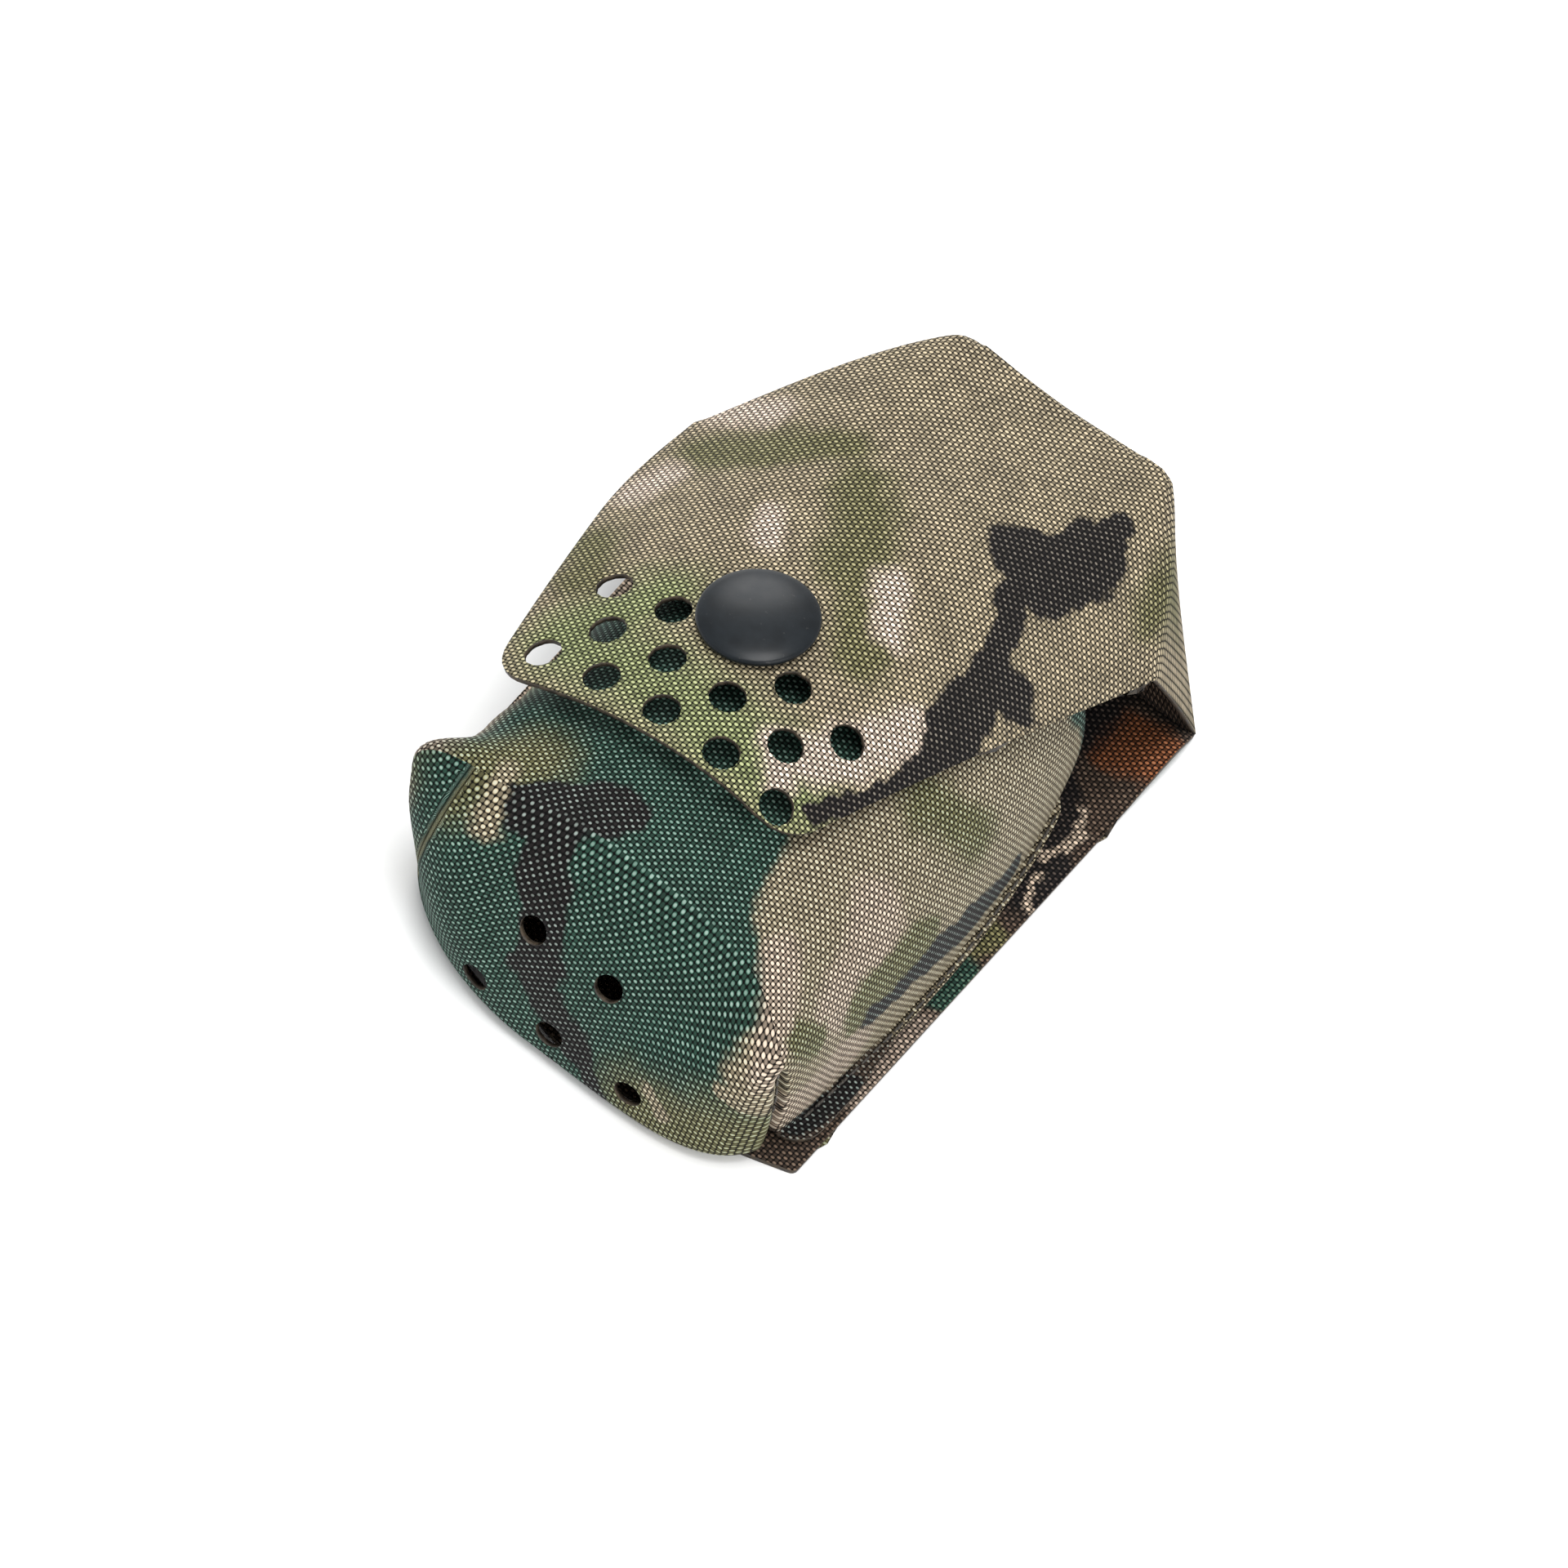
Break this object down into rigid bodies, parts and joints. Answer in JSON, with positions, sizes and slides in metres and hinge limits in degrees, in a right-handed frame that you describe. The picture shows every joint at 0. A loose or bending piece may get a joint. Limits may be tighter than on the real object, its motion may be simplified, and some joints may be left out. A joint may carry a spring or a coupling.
{
  "type": "snap-flap field pouch",
  "caption": "Small camouflage laminate field pouch with a rounded drain-holed bottom and a perforated flap closed by a domed snap.",
  "frame": {"origin": "middle of the back panel's straight-sided part, on the rear face that the pouch lies on", "axes": "+Z out of the pouch's front, +Y from the rounded bottom to the top fold, +X to the right when the front is faced"},
  "size_m": [0.0693, 0.1036, 0.0396],
  "materials": {
    "laminate_face": "plain-weave camouflage nylon laminate, outer ply",
    "laminate_inner": "plain-weave camouflage nylon laminate, inner ply",
    "snap_black": "black satin enamel on stamped brass",
    "thread": "bonded nylon sewing thread, dark brown"
  },
  "bodies": {
    "root": {"back_panel": "laminate_inner", "bag_shell": "laminate_face", "snap_stud": "snap_black", "stud_eyelet": "snap_black", "seam_thread_left": "thread", "seam_thread_right": "thread", "dart_thread_left": "thread", "dart_thread_right": "thread"},
    "fold": {"top_wall": "laminate_face"},
    "lid": {"flap": "laminate_face", "snap_cap": "snap_black", "snap_socket": "snap_black"}
  },
  "joints": [
    {"name": "top_fold", "type": "hinge", "parent": "root", "child": "fold", "pos_m": [0, 0.0433, 0.0005], "axis": [-1, 0, 0], "range_deg": [0, 70]},
    {"name": "flap_fold", "type": "hinge", "parent": "fold", "child": "lid", "pos_m": [0, 0.0505, 0.0256], "axis": [-1, 0, 0], "range_deg": [0, 100]}
  ]
}
